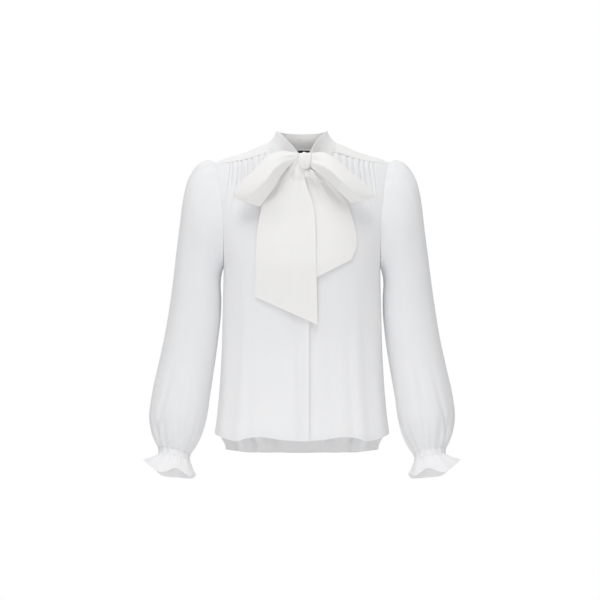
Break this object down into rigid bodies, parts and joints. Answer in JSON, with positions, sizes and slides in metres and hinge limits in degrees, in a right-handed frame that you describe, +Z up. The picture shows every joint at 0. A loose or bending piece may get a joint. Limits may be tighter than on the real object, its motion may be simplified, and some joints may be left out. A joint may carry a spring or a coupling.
{
  "type": "tie neck blouse",
  "caption": "Long-sleeved ivory crepe blouse with a stand collar tied in a soft bow, a gathered yoke, a covered placket and frilled elastic cuffs, hollow as worn",
  "frame": {"origin": "the middle of the neck at shoulder height, where the wearer's neck and shoulders hold the blouse up", "axes": "+Z up; the front with the bow and placket faces -Y; +X is the wearer's left"},
  "size_m": [0.6506, 0.247, 0.7066],
  "materials": {
    "crepe": "soft matt crepe, one layer, cool white",
    "crepe_double": "soft matt crepe, folded double, warm ivory white",
    "label_black": "fine black satin weave, plain"
  },
  "bodies": {
    "root": {"front_right": "crepe", "front_left": "crepe", "back": "crepe", "yoke": "crepe_double", "placket": "crepe_double", "sleeve_right": "crepe", "cuff_band_right": "crepe", "cuff_frill_right": "crepe", "sleeve_left": "crepe", "cuff_band_left": "crepe", "cuff_frill_left": "crepe", "collar": "crepe_double", "tie_knot": "crepe_double", "tie_loop_right": "crepe_double", "tie_loop_left": "crepe_double", "tie_tail_right": "crepe_double", "tie_tail_left": "crepe_double", "neck_label": "label_black"}
  },
  "joints": []
}
